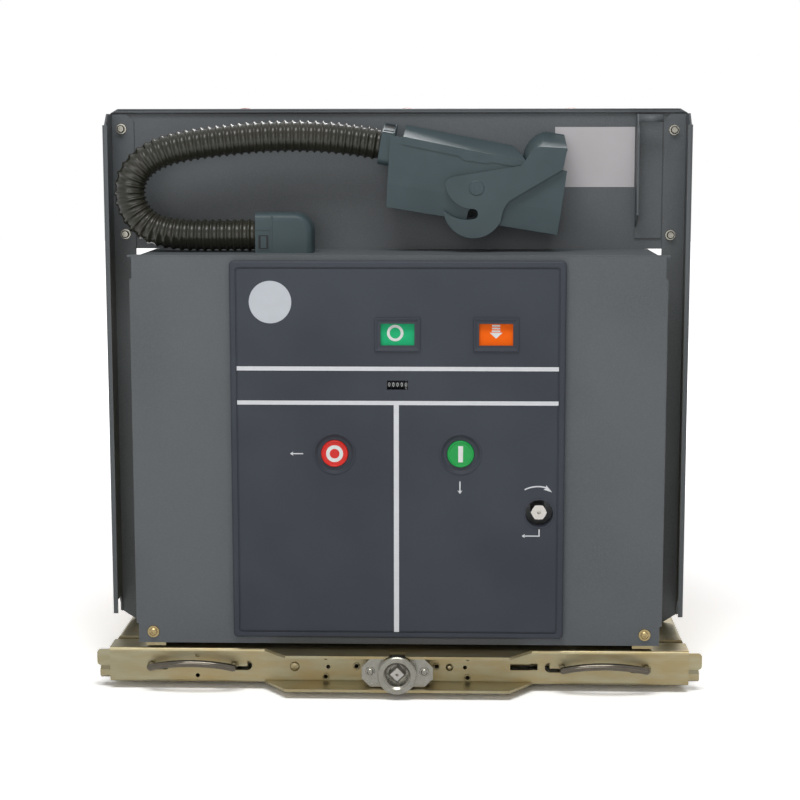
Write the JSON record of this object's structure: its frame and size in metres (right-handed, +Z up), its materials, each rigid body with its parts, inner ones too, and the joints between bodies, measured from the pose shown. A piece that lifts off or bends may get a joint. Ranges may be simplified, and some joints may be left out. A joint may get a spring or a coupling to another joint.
{
  "type": "indoor vacuum circuit breaker",
  "caption": "Withdrawable medium-voltage vacuum circuit breaker on a racking truck, with embedded poles, tulip contacts and an auxiliary plug on a conduit.",
  "frame": {"origin": "centre of the footprint, on the plane the wheels stand on", "axes": "+X to the right of someone facing the front, +Y back towards the contacts, +Z up"},
  "size_m": [0.68, 0.654, 0.6547],
  "materials": {
    "grey_coated_sheet": "satin grey coated steel sheet",
    "zinc_plated_steel": "zinc plated with a pale yellow passivation",
    "panel_plastic": "fine-grained moulded plastic",
    "brass_nut": "machined",
    "bright_steel": "turned steel",
    "spring_steel": "blackened spring steel",
    "cast_aluminium": "die cast",
    "red_plastic": "gloss",
    "green_plastic": "gloss",
    "flag_plastic": "two-field flag",
    "black_plastic": "matt",
    "plug_plastic": "satin moulded polyamide",
    "contact_block": "contact insert",
    "lever_metal": "satin coated steel",
    "conduit_plastic": "glossy corrugated polyamide",
    "epoxy": "cast epoxy resin",
    "silvered_copper": "silver-plated copper",
    "insulating_rod": "glass-fibre filled resin",
    "ceramic": "glazed ceramic"
  },
  "bodies": {
    "truck": {"front_cover": "grey_coated_sheet", "partition_plate": "grey_coated_sheet", "left_shield": "grey_coated_sheet", "right_shield": "grey_coated_sheet", "cable_guide": "grey_coated_sheet", "box_sides": "zinc_plated_steel", "box_roof": "grey_coated_sheet", "box_back": "zinc_plated_steel", "inner_plates": "zinc_plated_steel", "face_panel": "panel_plastic", "left_rail": "zinc_plated_steel", "right_rail": "zinc_plated_steel", "chassis_deck": "zinc_plated_steel", "racking_nut": "brass_nut", "counter_case": "black_plastic", "closing_spring": "spring_steel", "charging_motor": "cast_aluminium", "control_devices": "black_plastic", "opening_gear": "spring_steel", "conduit_elbow": "plug_plastic", "plug_housing": "plug_plastic", "plug_cap": "plug_plastic", "plug_contacts": "contact_block", "conduit_hose": "conduit_plastic", "vacuum_interrupters": "ceramic", "left_pole": "epoxy", "left_contact_arms": "silvered_copper", "lower_left_contact": "silvered_copper", "upper_left_contact": "silvered_copper", "centre_pole": "epoxy", "centre_contact_arms": "silvered_copper", "lower_centre_contact": "silvered_copper", "upper_centre_contact": "silvered_copper", "right_pole": "epoxy", "right_contact_arms": "silvered_copper", "lower_right_contact": "silvered_copper", "upper_right_contact": "silvered_copper"},
    "beam": {"front_beam": "zinc_plated_steel", "racking_socket": "zinc_plated_steel"},
    "racking_screw": {"racking_screw": "bright_steel"},
    "left_latch": {"left_latch": "zinc_plated_steel"},
    "right_latch": {"right_latch": "zinc_plated_steel"},
    "front_left_wheel": {"front_left_wheel": "bright_steel"},
    "front_right_wheel": {"front_right_wheel": "bright_steel"},
    "rear_left_wheel": {"rear_left_wheel": "bright_steel"},
    "rear_right_wheel": {"rear_right_wheel": "bright_steel"},
    "trip_button": {"trip_button": "red_plastic"},
    "close_button": {"close_button": "green_plastic"},
    "position_flag": {"position_flag": "flag_plastic"},
    "spring_flag": {"spring_flag": "flag_plastic"},
    "counter_wheel": {"counter_wheel": "black_plastic"},
    "main_shaft": {"main_shaft": "zinc_plated_steel"},
    "cam_shaft": {"cam_shaft": "bright_steel"},
    "charging_shaft": {"charging_shaft": "bright_steel"},
    "plug_lever": {"plug_lever": "lever_metal"},
    "left_drive_rod": {"left_drive_rod": "insulating_rod"},
    "centre_drive_rod": {"centre_drive_rod": "insulating_rod"},
    "right_drive_rod": {"right_drive_rod": "insulating_rod"}
  },
  "joints": [
    {"name": "beam_slide", "type": "slide", "parent": "truck", "child": "beam", "axis": [0, -1, 0], "range_m": [0, 0.2]},
    {"name": "screw_turn", "type": "hinge", "parent": "beam", "child": "racking_screw", "pos_m": [0, -0.289, 0.028], "axis": [0, -1, 0], "range_deg": [0, 7200]},
    {"name": "left_latch_slide", "type": "slide", "parent": "beam", "child": "left_latch", "axis": [1, 0, 0], "range_m": [0, 0.014], "stiffness_N_per_m": 600, "springref_m": -0.01},
    {"name": "right_latch_slide", "type": "slide", "parent": "beam", "child": "right_latch", "axis": [-1, 0, 0], "range_m": [0, 0.014], "stiffness_N_per_m": 600, "springref_m": -0.01},
    {"name": "front_left_wheel_spin", "type": "hinge", "parent": "truck", "child": "front_left_wheel", "pos_m": [-0.3097, -0.177, 0.022], "axis": [1, 0, 0], "continuous": true},
    {"name": "rear_left_wheel_spin", "type": "hinge", "parent": "truck", "child": "rear_left_wheel", "pos_m": [-0.3097, 0.195, 0.022], "axis": [1, 0, 0], "continuous": true},
    {"name": "front_right_wheel_spin", "type": "hinge", "parent": "truck", "child": "front_right_wheel", "pos_m": [0.3097, -0.177, 0.022], "axis": [1, 0, 0], "continuous": true},
    {"name": "rear_right_wheel_spin", "type": "hinge", "parent": "truck", "child": "rear_right_wheel", "pos_m": [0.3097, 0.195, 0.022], "axis": [1, 0, 0], "continuous": true},
    {"name": "trip_button_press", "type": "slide", "parent": "truck", "child": "trip_button", "axis": [0, 1, 0], "range_m": [0, 0.006], "stiffness_N_per_m": 400, "springref_m": -0.003},
    {"name": "close_button_press", "type": "slide", "parent": "truck", "child": "close_button", "axis": [0, 1, 0], "range_m": [0, 0.006], "stiffness_N_per_m": 400, "springref_m": -0.003},
    {"name": "plug_lever_swing", "type": "hinge", "parent": "truck", "child": "plug_lever", "pos_m": [0.086, -0.206, 0.5606], "axis": [0, -1, 0], "range_deg": [0, 70]},
    {"name": "main_shaft_turn", "type": "hinge", "parent": "truck", "child": "main_shaft", "pos_m": [0, -0.027, 0.165], "axis": [1, 0, 0], "range_deg": [0, 6.02]},
    {"name": "left_drive_rod_lift", "type": "slide", "parent": "truck", "child": "left_drive_rod", "axis": [0, 0, 1], "range_m": [0, 0.0145]},
    {"name": "centre_drive_rod_lift", "type": "slide", "parent": "truck", "child": "centre_drive_rod", "axis": [0, 0, 1], "range_m": [0, 0.0145]},
    {"name": "right_drive_rod_lift", "type": "slide", "parent": "truck", "child": "right_drive_rod", "axis": [0, 0, 1], "range_m": [0, 0.0145]},
    {"name": "position_flag_lift", "type": "slide", "parent": "truck", "child": "position_flag", "axis": [0, 0, 1], "range_m": [0, 0.027]},
    {"name": "counter_step", "type": "hinge", "parent": "truck", "child": "counter_wheel", "pos_m": [0.007, -0.2854, 0.3478], "axis": [1, 0, 0], "range_deg": [0, 36]},
    {"name": "cam_turn", "type": "hinge", "parent": "truck", "child": "cam_shaft", "pos_m": [0, -0.139, 0.3], "axis": [1, 0, 0], "range_deg": [0, 180], "deforming": ["closing_spring"]},
    {"name": "charging_turn", "type": "hinge", "parent": "truck", "child": "charging_shaft", "pos_m": [0.156, -0.229, 0.2056], "axis": [0, -1, 0], "range_deg": [0, 3600]},
    {"name": "spring_flag_lift", "type": "slide", "parent": "truck", "child": "spring_flag", "axis": [0, 0, 1], "range_m": [0, 0.027]}
  ],
  "couplings": [
    {"joint": "screw_turn", "follows": "beam_slide", "rad_per_m": 628.32},
    {"joint": "left_drive_rod_lift", "follows": "main_shaft_turn", "m_per_rad": 0.138},
    {"joint": "centre_drive_rod_lift", "follows": "main_shaft_turn", "m_per_rad": 0.138},
    {"joint": "right_drive_rod_lift", "follows": "main_shaft_turn", "m_per_rad": 0.138},
    {"joint": "position_flag_lift", "follows": "main_shaft_turn", "m_per_rad": 0.2569},
    {"joint": "counter_step", "follows": "main_shaft_turn", "ratio": 5.98},
    {"joint": "charging_turn", "follows": "cam_turn", "ratio": 20},
    {"joint": "spring_flag_lift", "follows": "cam_turn", "m_per_rad": 0.00859}
  ]
}
